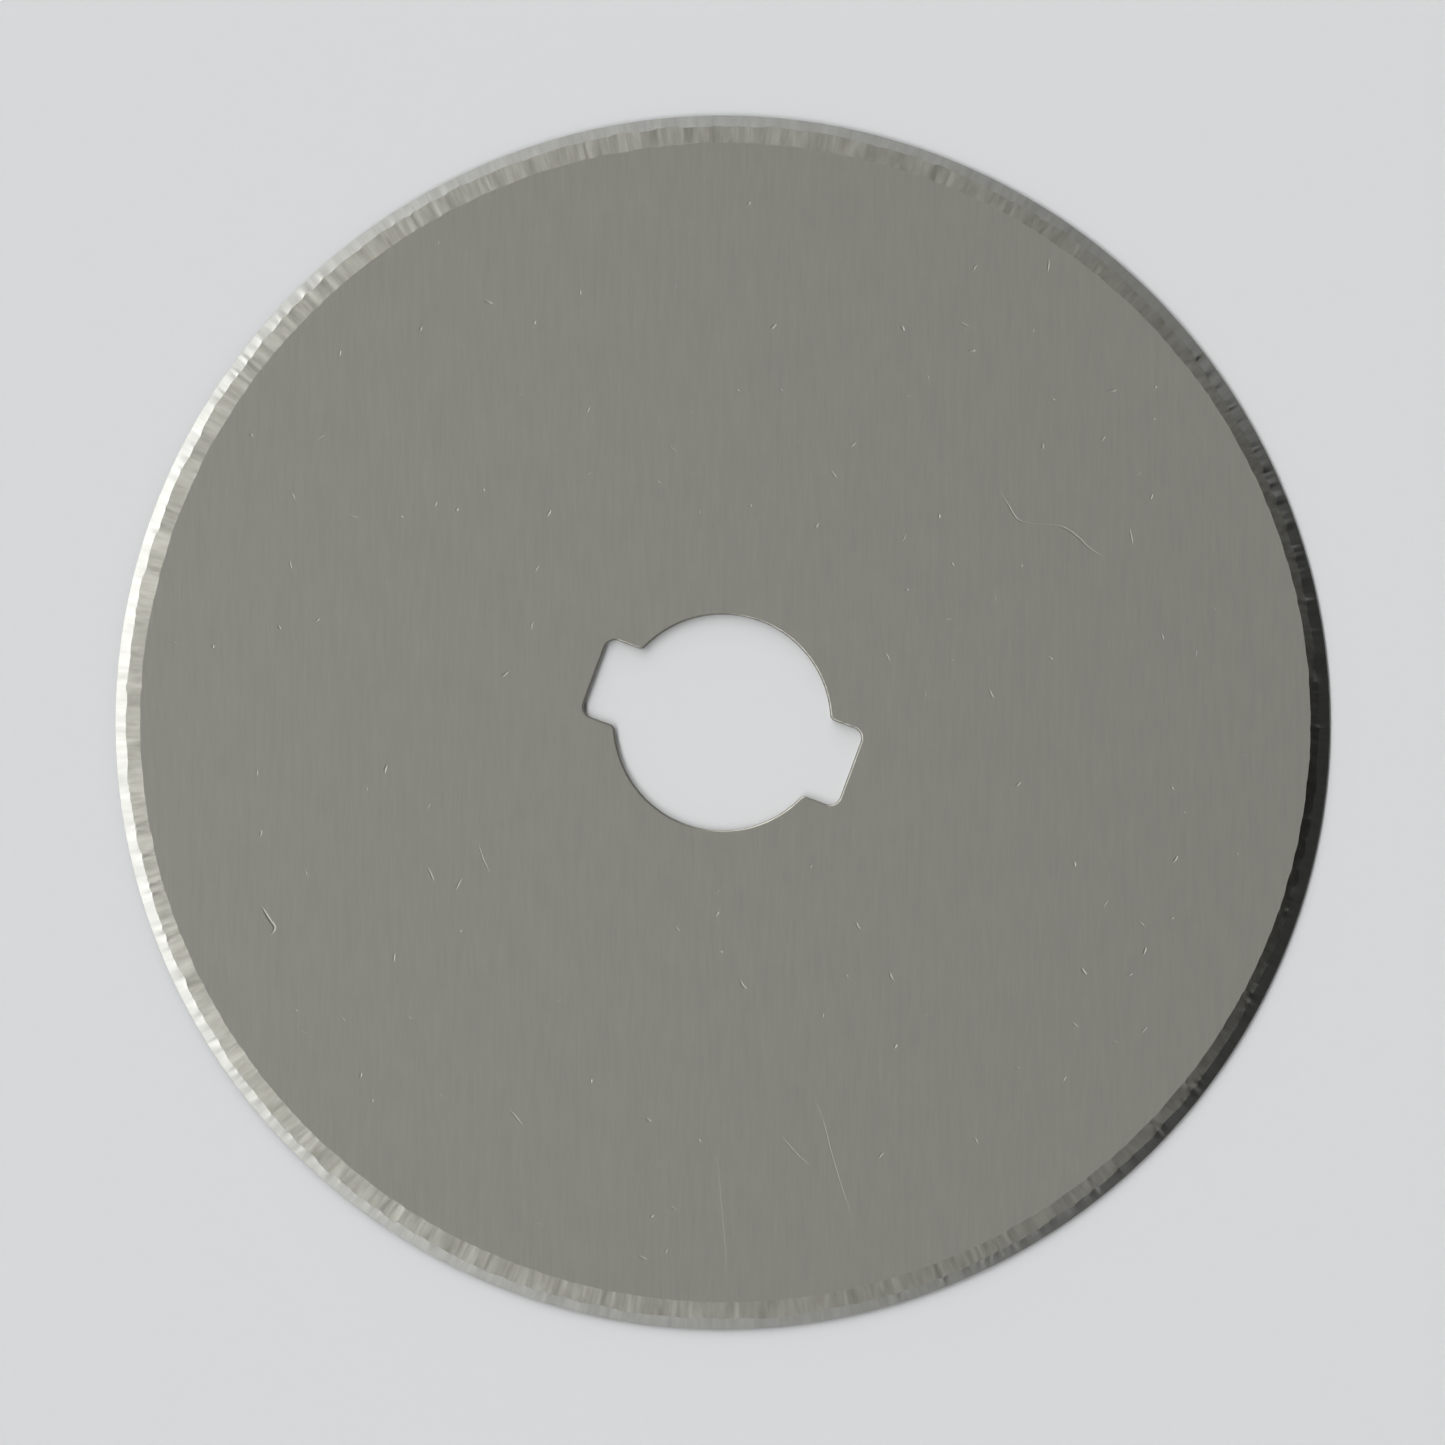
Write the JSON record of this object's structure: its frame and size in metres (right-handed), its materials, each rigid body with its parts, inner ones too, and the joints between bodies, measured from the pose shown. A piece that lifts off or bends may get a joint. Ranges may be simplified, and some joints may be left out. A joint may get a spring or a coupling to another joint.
{
  "type": "rotary cutter blade",
  "caption": "Thin round steel blade with a rim ground in two steps on both sides and a notched centre hole, for a hand rotary cutter.",
  "frame": {"origin": "on the axis of the centre hole, at the blade's lower face", "axes": "+Z runs along the hole's axis, up through the blade's thickness; +X runs along the line of the two notches"},
  "size_m": [0.045, 0.045, 0.0003],
  "materials": {
    "ground_steel": "satin"
  },
  "bodies": {
    "root": {"blade": "ground_steel"}
  },
  "joints": []
}
